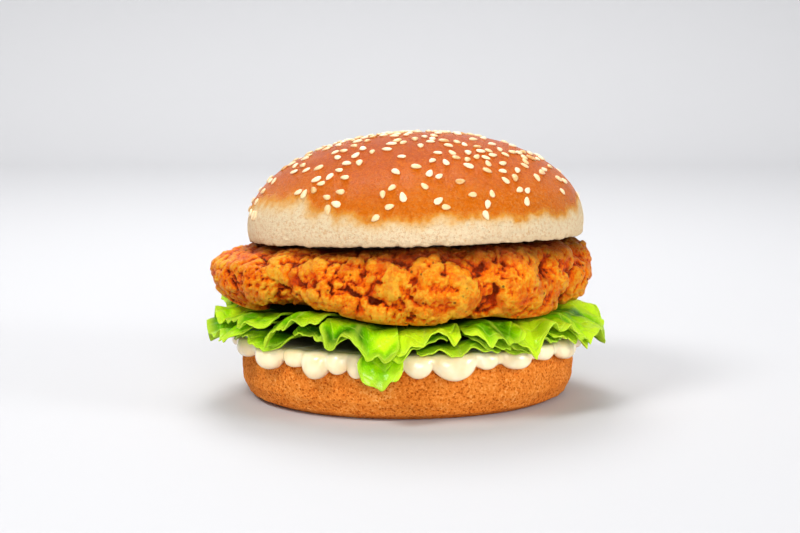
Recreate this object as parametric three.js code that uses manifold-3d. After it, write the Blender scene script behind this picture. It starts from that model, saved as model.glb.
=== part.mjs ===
// A chicken burger: a sesame bun round a fried chicken fillet, lettuce leaves and mayonnaise.
// Millimetres, +Z up. The origin is the middle of the flat face that the burger rests on.
// The front of the burger faces -Y. Azimuths are in degrees from +X, so the front is at 270.

import * as THREE from "three";
import { mergeVertices } from "three/addons/utils/BufferGeometryUtils.js";
import Module from "manifold-3d";

// Driving dimensions.
const clearance = 0.35; // kept between pieces that lie on each other
const heel = { radius: 52, height: 17, columns: 36 };
const crown = {
  radius: 52.8,
  height: 33,
  rim: 4, // height of the widest ring above the cut face
  roundness: 2.08, // exponent of the dome's outline, 2 is an ellipse
  middle: [2.5, 0, 49.4], // middle of the cut face
  leanBack: 4.2, // degrees, the front edge is propped up by the fillet
  leanLeft: 1.25,
  columns: 40,
  rings: 9,
};
const sesame = {
  length: 3.6,
  width: 2.3,
  proud: 0.8, // height over the crust
  sunk: 0.4, // depth of the ring of corners under the crust
  corners: 6,
  groups: 122,
  spread: 4.6, // how far the seeds of a group lie from its middle
  thinning: 0.62, // 0.5 is an even spread, more is denser on top
  seed: 4711,
};
const fillet = {
  middle: [-2.4, -1.5],
  halfLength: 55.5,
  halfDepth: 51.5,
  squareness: 2.25,
  underside: 29.6,
  shoulder: 12, // radius of the rounded side, seen from above
  skin: 0.4, // the smooth slab stays this far inside the space that the fillet may take
  hollow: 2.4, // depth of the side between its crags
  columns: 92,
  sideRings: 12,
  crags: 150,
  seed: 2029,
};
const mayonnaise = { height: 2.9, overhang: 1.2, drip: 0.5, columns: 44 };
const lettuce = {
  root: 12, // radius where the leaves start, under the fillet
  bend: 51, // radius where they start to droop
  rim: 62, // radius where the droop is as deep as stated
  top: 28, // height of the upper level
  step: 2.75, // from one level down to the next
  packed: 2.6, // the same where the leaves are pressed
  shingle: 0.75, // one side of a leaf lies under the next leaf, the other over the one before
  thickness: 0.7,
};
const ruffles = {
  start: 42,
  full: 60,
  most: 1.15,
  waves: [
    // height, number round the burger, phase, lean
    [2.2, 9, 0.7, 1],
    [1.7, 17, 2.1, -1],
    [1.0, 29, 4, 2],
  ],
};

const degrees = Math.PI / 180;

// The same row of draws each time, each from 0 to 1.
function drawsFrom(seed) {
  let state = seed;
  return () => {
    state = (state * 16807) % 2147483647;
    return state / 2147483647;
  };
}

function smooth(low, high, value) {
  const share = THREE.MathUtils.clamp((value - low) / (high - low), 0, 1);
  return share * share * (3 - 2 * share);
}

// A swell round one azimuth, 1 at its middle, for an angle in radians.
function bell(angle, azimuth, half) {
  const turn = THREE.MathUtils.euclideanModulo(angle / degrees - azimuth + 180, 360) - 180;
  return Math.exp(-((turn / half) ** 2));
}

// manifold-3d joins closed meshes.
const wasm = await Module();
wasm.setup();

function solidOf(geometry) {
  const bare = geometry.clone();
  bare.deleteAttribute("normal");
  bare.deleteAttribute("uv");
  const merged = mergeVertices(bare, 1e-4);
  return new wasm.Manifold(
    new wasm.Mesh({
      numProp: 3,
      vertProperties: merged.attributes.position.array,
      triVerts: new Uint32Array(merged.index.array),
    }),
  );
}

function geometryOf(solid) {
  const { vertProperties, triVerts } = solid.getMesh();
  const geometry = new THREE.BufferGeometry();
  geometry.setAttribute("position", new THREE.BufferAttribute(vertProperties, 3));
  geometry.setIndex(new THREE.BufferAttribute(triVerts, 1));
  geometry.computeVertexNormals();
  return geometry;
}

function geometryFrom(points, triangles) {
  const geometry = new THREE.BufferGeometry().setFromPoints(points);
  geometry.setIndex(triangles);
  geometry.computeVertexNormals();
  return geometry;
}

// A closed body of rings, each a list of points that runs anticlockwise seen from above.
// The rings go from the underside round the outside to the top, and a point closes each end.
function ringBody(rings, bottom, top) {
  const count = rings[0].length;
  const points = [...rings.flat(), bottom, top];
  const [low, high] = [points.length - 2, points.length - 1];
  const triangles = [];
  for (let i = 0; i < count; i++) {
    const next = (i + 1) % count;
    triangles.push(low, next, i);
    for (let ring = 0; ring < rings.length - 1; ring++) {
      const [a, b] = [ring * count, (ring + 1) * count];
      triangles.push(a + i, a + next, b + next, a + i, b + next, b + i);
    }
    const last = (rings.length - 1) * count;
    triangles.push(high, last + i, last + next);
  }
  return geometryFrom(points, triangles);
}

function around(count, pointAt) {
  return Array.from({ length: count }, (_, i) => pointAt((i / count) * 2 * Math.PI));
}

function polar(angle, radius, z) {
  return new THREE.Vector3(radius * Math.cos(angle), radius * Math.sin(angle), z);
}

// The lower bun: a thick round cut flat on top, a little wider at its middle.
function heelRadius(angle) {
  return heel.radius * (1 + 0.01 * Math.sin(2 * angle + 0.9) + 0.006 * Math.sin(3 * angle + 2.2));
}

function heelGeometry() {
  // share of the height, share of the radius
  const outline = [
    [0, 0.88],
    [0.1, 0.955],
    [0.34, 0.992],
    [0.66, 1],
    [0.94, 0.985],
    [1, 0.968],
  ];
  const rings = outline.map(([up, out]) =>
    around(heel.columns, (angle) => polar(angle, heelRadius(angle) * out, up * heel.height)),
  );
  return ringBody(rings, new THREE.Vector3(0, 0, 0), new THREE.Vector3(0, 0, heel.height));
}

// Waves that run round the burger and grow towards the edge of the leaves. Every leaf and the
// mayonnaise follow them, so that what is stacked nests.
function ruffle(angle, radius) {
  const { start, full, most, waves } = ruffles;
  const growth = Math.min(most, Math.max(0, (radius - start) / (full - start)) ** 1.5);
  const slant = 0.07 * (radius - lettuce.bend);
  let sum = 0;
  for (const [height, count, phase, lean] of waves) {
    sum += height * Math.sin(count * angle + phase + lean * slant);
  }
  return growth * sum;
}

// The space under the fillet: flat in the middle, raised in places at the side. The fillet never
// reaches below it, and the leaves never above.
const lifts = [
  // azimuth, half-width in degrees, height
  [236, 18, 3.8],
  [297, 9, 1.9],
  [8, 18, 0.8],
  [70, 20, 2.4],
  [138, 22, 2.8],
];

function sideLift(angle, radius) {
  let sum = 0;
  for (const [azimuth, half, height] of lifts) sum += height * bell(angle, azimuth, half);
  return sum * smooth(34, 52, radius);
}

function underFillet(angle, radius) {
  return fillet.underside + sideLift(angle, radius) + 0.05 * Math.max(0, radius - lettuce.bend) ** 2;
}

// The space over the mayonnaise, which the leaves keep out of.
function overMayonnaise(radius) {
  const highest = heel.height + 3 * clearance + mayonnaise.height;
  return highest - 0.35 * Math.max(0, radius - heel.radius - 0.5) ** 1.5;
}

// The mayonnaise: a layer squeezed out over the edge of the heel, in drops that hang down.
const drops = [
  // azimuth, half-width in degrees, how far it pushes out, how far it hangs
  [203, 9, 1.8, 2.6],
  [215, 5, 1.0, 0.6],
  [228, 6, 0.8, 0.4],
  [243, 8, 2.0, 3.2],
  [258, 5, 1.2, 1.4],
  [268, 6, 0.3, 0.4],
  [280, 7, 1.3, 1.0],
  [292, 8, 1.9, 3.4],
  [312, 9, 0.6, 0.6],
  [337, 8, 1.5, 1.8],
  [5, 10, 0.7, 0.8],
  [31, 9, 1.9, 3.0],
  [62, 10, 0.9, 0.7],
  [84, 8, 1.7, 2.4],
  [112, 10, 1.1, 1.1],
  [139, 9, 1.9, 3.2],
  [168, 9, 0.7, 0.8],
];

function mayonnaiseGeometry() {
  const base = heel.height + clearance;
  const inner = base + mayonnaise.height - 0.3;
  // share of the way from the heel's side to the nose, share of the way from the lowest point up
  const nose = [
    [0.05, 0.22],
    [0.4, 0],
    [0.82, 0.12],
    [1, 0.45],
    [0.86, 0.78],
    [0.3, 0.97],
  ];
  const ringAt = (pointOf) =>
    around(mayonnaise.columns, (angle) => {
      const at = { out: mayonnaise.overhang, down: mayonnaise.drip };
      for (const [azimuth, half, out, down] of drops) {
        const swell = bell(angle, azimuth, half * 0.8);
        at.out = Math.max(at.out, mayonnaise.overhang + out * swell);
        at.down = Math.max(at.down, mayonnaise.drip + down * swell);
      }
      const side = heelRadius(angle) + clearance + 0.1;
      const top = base + mayonnaise.height + 0.12 * at.out + 0.3 * ruffle(angle, heel.radius - 2);
      const [radius, z] = pointOf(side, at, top);
      return polar(angle, radius, z);
    });
  const rings = [
    ringAt((side) => [side * 0.6, base]),
    ringAt((side) => [side, base]),
    ...nose.map(([out, up]) =>
      ringAt((side, at, top) => {
        const low = base - at.down;
        return [side + at.out * out, low + (top - low) * up];
      }),
    ),
    ringAt((side, at, top) => [side * 0.94, top]),
    ringAt((side) => [side * 0.7, inner]),
  ];
  return ringBody(rings, new THREE.Vector3(0, 0, base), new THREE.Vector3(0, 0, inner));
}

// Lettuce: torn leaves in three levels, each from the middle of the burger out to its edge.
// Level 0 lies against the fillet and level 2 on the mayonnaise. The curls lift a leaf's two sides.
const leaves = [
  { azimuth: 210, half: 13, reach: 61, droop: 3.6, curls: [0.4, 3.0], level: 0 },
  { azimuth: 233, half: 11, reach: 61.5, droop: 5.2, curls: [0.6, 0.4], level: 0 },
  { azimuth: 255, half: 11.2, reach: 62.5, droop: 5.2, curls: [0.6, 1.2], level: 0 },
  { azimuth: 276, half: 11, reach: 61.5, droop: 4.8, curls: [1.2, 0.6], level: 0 },
  { azimuth: 297.5, half: 10, reach: 62, droop: 4.2, curls: [2.2, 2.4], level: 0 },
  { azimuth: 317, half: 13, reach: 62.5, droop: 4.7, curls: [1.0, 0.6], level: 0 },
  { azimuth: 342, half: 15, reach: 64, droop: 4.6, curls: [0.6, 1.2], level: 0 },
  { azimuth: 12, half: 16.5, reach: 62, droop: 5.8, curls: [0.8, 0.4], level: 0 },
  { azimuth: 46, half: 16.5, reach: 62, droop: 5.2, curls: [1.4, 0.6], level: 0 },
  { azimuth: 82, half: 18.5, reach: 62.5, droop: 4.8, curls: [0.6, 1.8], level: 0 },
  { azimuth: 118, half: 19, reach: 61.5, droop: 4.6, curls: [1.6, 1.0], level: 0 },
  { azimuth: 154, half: 20, reach: 62, droop: 4.4, curls: [0.8, 1.8], level: 0 },
  { azimuth: 185, half: 13, reach: 62.5, droop: 4.0, curls: [1.0, 0.4], level: 0 },
  { azimuth: 200, half: 14, reach: 64, droop: 4.4, curls: [0.3, 0.2], level: 1 },
  { azimuth: 244, half: 13, reach: 58.5, droop: 5.4, curls: [0.3, 0.3], level: 1 },
  { azimuth: 270, half: 13, reach: 58.5, droop: 5.2, curls: [0.3, 0.3], level: 1 },
  { azimuth: 304, half: 14, reach: 58.5, droop: 5.0, curls: [0.3, 0.3], level: 1 },
  { azimuth: 333, half: 13, reach: 61, droop: 4.8, curls: [0.3, 0.3], level: 1 },
  { azimuth: 30, half: 17, reach: 60, droop: 5.6, curls: [0.3, 0.3], level: 1 },
  { azimuth: 100, half: 18, reach: 59.5, droop: 4.8, curls: [0.3, 0.3], level: 1 },
  { azimuth: 133, half: 15, reach: 59.5, droop: 4.6, curls: [0.3, 0.3], level: 1 },
  { azimuth: 166, half: 19, reach: 59.5, droop: 4.6, curls: [0.3, 0.3], level: 1 },
  { azimuth: 212, half: 18, reach: 58, droop: 4.4, curls: [0, 0], level: 2 },
  { azimuth: 262, half: 6, reach: 62.5, droop: 8, curls: [0, 0], level: 2 },
  { azimuth: 287, half: 14, reach: 57, droop: 4.8, curls: [0, 0], level: 2 },
  { azimuth: 316, half: 14, reach: 57.5, droop: 4.8, curls: [0, 0], level: 2 },
];

// A point of the leaf's middle surface: side runs from -1 to 1 across it, out from 0 at the root to 1.
function leafPoint(leaf, index, side, out) {
  const { root, bend, rim, top, step, packed, shingle, thickness } = lettuce;
  const uneven = 0.8 * Math.sin(5 * side + 2.3 * index);
  const reach = leaf.reach - 3 * Math.abs(side) ** 6 + uneven - 1;
  const radius = root + (reach - root) * out;
  const nearRim = smooth(bend - 5, rim - 2, radius);
  const angle = (leaf.azimuth + leaf.half * side) * degrees;
  const sway = 1.3 * Math.sin(11 * angle + 1) * nearRim;
  const turned = angle + sway / radius;

  const fall = leaf.droop * (Math.max(0, radius - bend) / (rim - bend)) ** 1.25;
  const curl = leaf.curls[side < 0 ? 0 : 1] * Math.abs(side) ** 3 * nearRim;
  const nested = sideLift(turned, radius) * (1 - 0.3 * leaf.level) + ruffle(turned, radius);
  const height = top - step * leaf.level + nested - fall + curl;
  const room = 0.5 * thickness + clearance + shingle + 0.1;
  const highest = underFillet(turned, radius) - room - packed * leaf.level;
  const lowest = overMayonnaise(radius) + room + packed * (2 - leaf.level);
  return polar(turned, radius, THREE.MathUtils.clamp(height, lowest, highest) + shingle * side);
}

function leafGeometry(leaf, index) {
  const columns = Math.max(5, Math.round(leaf.half * 0.5));
  const rows = [0, 0.52, 0.75, 0.86, 0.94, 1];
  const nudge = 1e-3;
  const points = [];
  for (const face of [1, -1]) {
    for (const out of rows) {
      for (let column = 0; column <= columns; column++) {
        const side = (2 * column) / columns - 1;
        const at = leafPoint(leaf, index, side, out);
        const across = leafPoint(leaf, index, side + nudge, out).sub(at);
        const along = leafPoint(leaf, index, side, out + nudge).sub(at);
        const up = along.cross(across).normalize();
        points.push(at.addScaledVector(up, (face * lettuce.thickness) / 2));
      }
    }
  }
  const wide = columns + 1;
  const below = rows.length * wide;
  const last = rows.length - 1;
  const triangles = [];
  for (let row = 0; row < last; row++) {
    for (let column = 0; column < columns; column++) {
      const a = row * wide + column;
      const [b, c, d] = [a + 1, a + wide + 1, a + wide];
      triangles.push(a, d, c, a, c, b);
      triangles.push(below + a, below + c, below + d, below + a, below + b, below + c);
    }
  }
  const edge = [];
  for (let column = 0; column < columns; column++) edge.push(column);
  for (let row = 0; row < last; row++) edge.push(row * wide + columns);
  for (let column = columns; column > 0; column--) edge.push(last * wide + column);
  for (let row = last; row > 0; row--) edge.push(row * wide);
  edge.forEach((from, i) => {
    const to = edge[(i + 1) % edge.length];
    triangles.push(from, to, below + to, from, below + to, below + from);
  });
  return geometryFrom(points, triangles);
}

// The crown lies on the fillet, so both need the plane of its cut face.
const crownTurn = new THREE.Euler(-crown.leanBack * degrees, -crown.leanLeft * degrees, 0);
const crownUp = new THREE.Vector3(0, 0, 1).applyEuler(crownTurn);

function cutFaceHeight(x, y) {
  const [middleX, middleY, middleZ] = crown.middle;
  return middleZ - (crownUp.x * (x - middleX) + crownUp.y * (y - middleY)) / crownUp.z;
}

// The fillet: a thick slab with a rounded side, swollen into lobes and covered in crags of crust.
const lobes = [
  // azimuth, tilt of the side in degrees from level, radius, swell
  [189, -5, 12, 2.4],
  [201, 30, 7, 2.2],
  [176, 20, 7, 2.0],
  [243, -24, 10, 1.6],
  [262, -20, 13, 2.4],
  [281, 26, 8, 3.2],
  [290, 5, 7, 2.6],
  [286, -40, 9, 2.4],
  [301, -32, 10, 2.6],
  [309, 10, 11, 2.0],
  [335, 14, 12, 2.2],
  [328, -45, 7, 2.4],
  [2, 0, 12, 1.2],
  [35, -14, 13, 2.8],
  [66, 10, 12, 2.0],
  [93, -10, 14, 3.0],
  [122, 14, 11, 2.0],
  [150, -14, 13, 2.6],
];

function filletRadius(angle) {
  const { halfLength, halfDepth, squareness } = fillet;
  const across = Math.abs(Math.cos(angle) / halfLength) ** squareness;
  const deep = Math.abs(Math.sin(angle) / halfDepth) ** squareness;
  const uneven = 1 + 0.018 * Math.sin(3 * angle + 0.4) + 0.012 * Math.sin(5 * angle + 1.9);
  return uneven / (across + deep) ** (1 / squareness);
}

// The fillet's top follows the crown's cut face and falls away outside the crown.
function overFillet(x, y) {
  const out = Math.hypot(x - crown.middle[0], y - crown.middle[1]);
  return cutFaceHeight(x, y) - 2 * clearance - 3.5 * smooth(crown.radius - 6, crown.radius + 9, out);
}

// A point of the smooth slab and the way its surface faces. Tilt runs from -90 degrees at the
// underside to 90 at the top.
function filletBase(angle, tilt, inward) {
  const [middleX, middleY] = fillet.middle;
  const edge = filletRadius(angle) - fillet.shoulder;
  const radius = (edge + fillet.shoulder * Math.cos(tilt)) * inward;
  const at = polar(angle, radius, 0);
  at.x += middleX;
  at.y += middleY;
  const low = underFillet(Math.atan2(at.y, at.x), Math.hypot(at.x, at.y)) + fillet.skin;
  const high = overFillet(at.x, at.y) - fillet.skin;
  at.z = (low + high) / 2 + ((high - low) / 2) * Math.sin(tilt);
  const facing = polar(angle, Math.cos(tilt), Math.sin(tilt));
  return { at, facing };
}

function cragSites() {
  const draw = drawsFrom(fillet.seed);
  const goldenAngle = Math.PI * (3 - Math.sqrt(5));
  return Array.from({ length: fillet.crags }, (_, i) => {
    const angle = i * goldenAngle + 0.5 * draw();
    const tilt = (-70 + 145 * draw()) * degrees;
    const radius = 4.2 + 4.6 * draw() ** 1.5;
    return { at: filletBase(angle, tilt, 1).at, radius, rise: 1.2 + radius * (0.3 + 0.3 * draw()) };
  });
}

function filletGeometry() {
  const sites = cragSites();
  const swells = lobes.map(([azimuth, tilt, radius, swell]) => {
    const { at } = filletBase(azimuth * degrees, tilt * degrees, 1);
    return { at, radius, swell };
  });
  const pointAt = (angle, tilt, inward) => {
    const { at, facing } = filletBase(angle, tilt, inward);
    let swell = 0;
    for (const lobe of swells) {
      swell += lobe.swell * Math.exp(-at.distanceToSquared(lobe.at) / lobe.radius ** 2);
    }
    let crag = 0;
    for (const site of sites) {
      const share = at.distanceTo(site.at) / site.radius;
      if (share < 1) crag = Math.max(crag, site.rise * Math.sqrt(1 - share * share));
    }
    const onSide = smooth(0.72, 0.95, inward);
    at.addScaledVector(facing, onSide * (swell + crag - fillet.hollow));
    const floor = underFillet(Math.atan2(at.y, at.x), Math.hypot(at.x, at.y));
    at.z = THREE.MathUtils.clamp(at.z, floor, overFillet(at.x, at.y));
    return at;
  };
  const ringAt = (tilt, inward) => around(fillet.columns, (angle) => pointAt(angle, tilt, inward));
  const [under, over] = [-Math.PI / 2, Math.PI / 2];
  const flats = [0.4, 0.84];
  const rings = flats.map((inward) => ringAt(under, inward));
  for (let i = 0; i <= fillet.sideRings; i++) {
    rings.push(ringAt(under + ((over - under) * i) / fillet.sideRings, 1));
  }
  for (const inward of flats.toReversed()) rings.push(ringAt(over, inward));
  return ringBody(rings, pointAt(0, under, 0), pointAt(0, over, 0));
}

// The crown, in its own frame: the cut face is at z = 0 with its middle at the origin.
// Rise runs from 0 at the widest ring to a quarter turn at the top.
function domePoint(angle, rise) {
  const { radius, height, rim, roundness } = crown;
  const [out, up] = [Math.cos(rise), Math.sin(rise)];
  const scale = (out ** roundness + up ** roundness) ** (-1 / roundness);
  const waves = 0.008 * Math.sin(2 * angle + 0.6) + 0.006 * Math.sin(3 * angle + 2);
  const uneven = waves + 0.004 * Math.sin(7 * angle);
  const at = polar(angle, radius * (1 + uneven) * out * scale, rim + (height - rim) * up * scale);
  at.x += 1.2 * (at.z / height) ** 2;
  return at;
}

function domeGeometry() {
  // share of the widest ring, height
  const edge = [
    [0.6, 0],
    [0.966, 0],
    [0.992, 1.4],
  ];
  const rings = edge.map(([share, z]) =>
    around(crown.columns, (angle) => {
      const at = domePoint(angle, 0);
      return new THREE.Vector3(at.x * share, at.y * share, z);
    }),
  );
  for (let i = 0; i < crown.rings; i++) {
    const rise = (Math.PI / 2) * (i / crown.rings);
    rings.push(around(crown.columns, (angle) => domePoint(angle, rise)));
  }
  return ringBody(rings, new THREE.Vector3(0, 0, 0), domePoint(0, Math.PI / 2));
}

// A seed: a flat drop with a narrow and a round end, a ring of corners between two points.
function seedGeometry() {
  const { length, width, proud, sunk, corners } = sesame;
  const ring = around(corners, (angle) => {
    const pinch = 1 - 0.3 * Math.cos(angle);
    return new THREE.Vector3((length / 2) * Math.cos(angle), (width / 2) * Math.sin(angle) * pinch, -sunk);
  });
  const heart = -0.12 * length;
  return ringBody([ring], new THREE.Vector3(heart, 0, -2 * sunk), new THREE.Vector3(heart, 0, proud));
}

// Where the seeds lie: groups of one to four, thrown on from above, thinner towards the side.
function seedPlaces() {
  const draw = drawsFrom(sesame.seed);
  const places = [];
  const tooNear = (at) => places.some((place) => place.at.distanceTo(at) < 0.8 * sesame.length);
  const scatter = () => (sesame.spread / crown.radius) * (2 * draw() - 1);
  for (let group = 0; group < sesame.groups; group++) {
    const angle = 2 * Math.PI * draw();
    const reach = 0.96 * draw() ** sesame.thinning;
    const members = 1 + Math.floor(4 * draw() ** 1.3);
    for (let member = 0; member < members; member++) {
      const x = reach * Math.cos(angle) + scatter();
      const y = reach * Math.sin(angle) + scatter();
      const turn = 2 * Math.PI * draw();
      const out = Math.min(0.99, Math.hypot(x, y));
      const up = (1 - out ** crown.roundness) ** (1 / crown.roundness);
      const [azimuth, rise] = [Math.atan2(y, x), Math.atan2(up, out)];
      const at = domePoint(azimuth, rise);
      const nudge = 1e-3;
      const across = domePoint(azimuth + nudge, rise).sub(at);
      const along = domePoint(azimuth, rise + nudge).sub(at).normalize();
      const facing = across.cross(along).normalize();
      if (!tooNear(at)) places.push({ at, along, facing, turn });
    }
  }
  return places;
}

function crownSolid() {
  const seed = seedGeometry();
  const seeds = seedPlaces().map(({ at, along, facing, turn }) => {
    const place = new THREE.Matrix4().makeBasis(along, facing.clone().cross(along), facing);
    place.multiply(new THREE.Matrix4().makeRotationZ(turn)).setPosition(at);
    return solidOf(seed.clone().applyMatrix4(place));
  });
  return seeds.reduce((body, one) => body.add(one), solidOf(domeGeometry()));
}

// Materials and the assembled burger.
function matte(color, roughness) {
  return new THREE.MeshStandardMaterial({ color, roughness, metalness: 0 });
}

function piece(name, geometry, material) {
  const mesh = new THREE.Mesh(geometry, material);
  mesh.name = name;
  return mesh;
}

const burger = new THREE.Group();
burger.add(piece("bun_heel", heelGeometry(), matte(0xd9924e, 0.8)));
burger.add(piece("mayonnaise", mayonnaiseGeometry(), matte(0xf5e7c3, 0.3)));
const green = matte(0x74ae1c, 0.45);
leaves.forEach((leaf, i) => {
  burger.add(piece(`lettuce_leaf_${i + 1}`, leafGeometry(leaf, i), green));
});
burger.add(piece("chicken_fillet", filletGeometry(), matte(0xdd7f24, 0.65)));

const top = piece("bun_crown", geometryOf(crownSolid()), matte(0xc9702a, 0.4));
top.position.set(...crown.middle);
top.rotation.copy(crownTurn);
burger.add(top);

export default burger;
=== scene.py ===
import math

import bpy
import numpy as np
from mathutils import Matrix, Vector


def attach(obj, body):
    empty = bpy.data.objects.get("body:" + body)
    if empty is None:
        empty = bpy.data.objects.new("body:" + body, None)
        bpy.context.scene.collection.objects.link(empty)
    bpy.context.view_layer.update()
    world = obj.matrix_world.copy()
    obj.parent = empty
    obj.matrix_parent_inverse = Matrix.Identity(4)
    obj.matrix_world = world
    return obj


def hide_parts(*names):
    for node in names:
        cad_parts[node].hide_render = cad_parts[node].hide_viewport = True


# A chicken burger: a sesame bun round a fried chicken fillet, lettuce leaves and mayonnaise.
# Shapes are worked out in millimetres in the frame of the solids, and turned to metres at the end.
# The front of the burger faces -Y. Azimuths are in degrees from +X, so the front is at 270.

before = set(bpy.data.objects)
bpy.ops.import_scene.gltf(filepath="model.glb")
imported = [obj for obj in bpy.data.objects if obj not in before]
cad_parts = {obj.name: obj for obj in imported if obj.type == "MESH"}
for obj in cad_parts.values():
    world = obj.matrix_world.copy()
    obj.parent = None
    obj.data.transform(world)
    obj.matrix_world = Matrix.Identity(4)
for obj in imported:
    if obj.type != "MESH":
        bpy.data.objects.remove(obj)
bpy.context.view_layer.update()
mm = 0.001
print("frame loaded,", len(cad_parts), "nodes")


# Small helpers

def drawsFrom(seed):
    # the same row of draws each time, each from 0 to 1: the last state times a factor, wrapped at a prime
    factor, prime = 16807, 2147483647
    state = seed
    while True:
        state = (state * factor) % prime
        yield state / prime


def smooth(low, high, value):
    # an S-curve from 0 at low to 1 at high
    share = np.clip((value - low) / (high - low), 0, 1)
    return share * share * (3 - 2 * share)


def turnFrom(angle, azimuth):
    # degrees from an azimuth to an angle given in radians, -180 to 180
    return (np.degrees(angle) - azimuth + 180) % 360 - 180


def bell(angle, azimuth, half, height):
    # a swell round one azimuth: its height times a bell curve
    return height * np.exp(-((turnFrom(angle, azimuth) / half) ** 2))


def roundAbout(columns):
    # the angles of a grid's columns, one turn without its end
    return np.linspace(0, 2 * math.pi, columns, endpoint=False)[None, :]


def uneven(angle, rows):
    # 1 and sines round the burger: share, number round, phase
    return 1 + sum(share * np.sin(count * angle + phase) for share, count, phase in rows)


def polar(angle, radius, z):
    # a point at an angle round the middle, a radius from it and at a height
    angle, radius, z = np.broadcast_arrays(angle, radius, z)
    return np.stack([radius * np.cos(angle), radius * np.sin(angle), z], axis=-1)


def unit(vectors):
    # each vector over its own length
    return vectors / np.maximum(np.linalg.norm(vectors, axis=-1, keepdims=True), 1e-9)


def scattered(cell, seed):
    # one steady draw from 0 to 1 for each whole-numbered cell of a lattice: the cell's numbers and the
    # seed, each times a large prime, mixed bit by bit
    mixed = cell[..., 0] * 73856093 ^ cell[..., 1] * 19349663 ^ cell[..., 2] * 83492791 ^ (seed * 40503001)
    mixed = (mixed ^ (mixed >> 13)) * 1274126177
    mixed = mixed ^ (mixed >> 16)
    return (mixed & 0xFFFFFF) / 0xFFFFFF


def clouds(points, size, seed):
    # smooth noise from -1 to 1: draws at the corners of cells of one size, blended between them
    place = points / size
    cell = np.floor(place).astype(np.int64)
    part = place - cell
    part = part * part * (3 - 2 * part)
    total = 0
    for corner in np.ndindex(2, 2, 2):
        weight = np.prod(np.where(corner, part, 1 - part), axis=-1)
        total = total + weight * scattered(cell + np.array(corner), seed)
    return 2 * total - 1


def layered(points, layers):
    # clouds of several sizes added up: share, size, seed
    return sum(share * clouds(points, size, seed) for share, size, seed in layers)


def lumps(points, size, seed):
    # rounded lumps with sharp creases: the highest of the balls round scattered points, 0 to about 1;
    # the balls measure 0.62 to 1 cell
    place = points / size
    cell = np.floor(place).astype(np.int64)
    best = np.zeros(place.shape[:-1])
    for step in np.ndindex(3, 3, 3):
        near = cell + np.array(step) - 1
        centre = near + np.stack([scattered(near, seed + axis) for axis in range(3)], axis=-1)
        ball = 0.62 + 0.38 * scattered(near, seed + 3)
        share = np.sum((place - centre) ** 2, axis=-1) / ball**2
        best = np.maximum(best, ball * np.sqrt(np.clip(1 - share, 0, 1)))
    return best


def gridNormals(points, closed=True):
    # across the rows and along the columns by differences between neighbours
    if closed:
        around = np.roll(points, -1, axis=1) - np.roll(points, 1, axis=1)
    else:
        around = np.gradient(points, axis=1)
    return unit(np.cross(around, np.gradient(points, axis=0)))


def softened(values, reach):
    # the mean over a square of neighbours on a grid that closes round its columns
    padded = np.concatenate([values[:, -reach:], values, values[:, :reach]], axis=1)
    padded = np.concatenate([padded[:1]] * reach + [padded] + [padded[-1:]] * reach, axis=0)
    total = np.cumsum(np.cumsum(padded, axis=0), axis=1)
    total = np.pad(total, [(1, 0), (1, 0)] + [(0, 0)] * (values.ndim - 2))
    span = 2 * reach + 1
    square = total[span:, span:] - total[:-span, span:] - total[span:, :-span] + total[:-span, :-span]
    return square / span**2


def pieceFrom(name, points, quads, triangles, attributes):
    # points in millimetres; the piece's place is in its mesh
    mesh = bpy.data.meshes.new(name)
    mesh.vertices.add(len(points))
    mesh.vertices.foreach_set("co", (points * mm).astype(np.float32).ravel())
    corners = np.concatenate([np.ravel(quads), np.ravel(triangles)]).astype(np.int32)
    starts = np.concatenate([4 * np.arange(len(quads)), 4 * len(quads) + 3 * np.arange(len(triangles))])
    mesh.loops.add(len(corners))
    mesh.loops.foreach_set("vertex_index", corners)
    mesh.polygons.add(len(starts))
    mesh.polygons.foreach_set("loop_start", starts.astype(np.int32))
    mesh.update(calc_edges=True)
    mesh.shade_smooth()
    for key, values in attributes.items():
        layer = mesh.attributes.new(key, "FLOAT", "POINT")
        layer.data.foreach_set("value", values.astype(np.float32).ravel())
    piece = bpy.data.objects.new(name, mesh)
    bpy.context.scene.collection.objects.link(piece)
    return piece


def ringFaces(rows, columns):
    # four-sided faces between neighbouring rings, and triangles to a middle point at either end
    index = np.arange(rows * columns).reshape(rows, columns)
    beside = np.roll(index, -1, axis=1)
    quads = np.stack([index[:-1], beside[:-1], beside[1:], index[1:]], axis=-1).reshape(-1, 4)
    low, high = rows * columns, rows * columns + 1
    under = np.stack([np.full(columns, low), beside[0], index[0]], axis=-1)
    over = np.stack([np.full(columns, high), index[-1], beside[-1]], axis=-1)
    return quads, np.concatenate([under, over])


def ringPiece(name, rings, attributes):
    # a closed body: rings run anticlockwise seen from above, from the underside round to the top,
    # and a point in the middle of the first and of the last ring closes it
    points = np.concatenate([rings.reshape(-1, 3), rings[:1].mean(axis=1), rings[-1:].mean(axis=1)])
    quads, ends = ringFaces(*rings.shape[:2])
    closed = {
        key: np.concatenate([values.ravel(), [values[0].mean(), values[-1].mean()]])
        for key, values in attributes.items()
    }
    return pieceFrom(name, points, quads, ends, closed)


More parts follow.
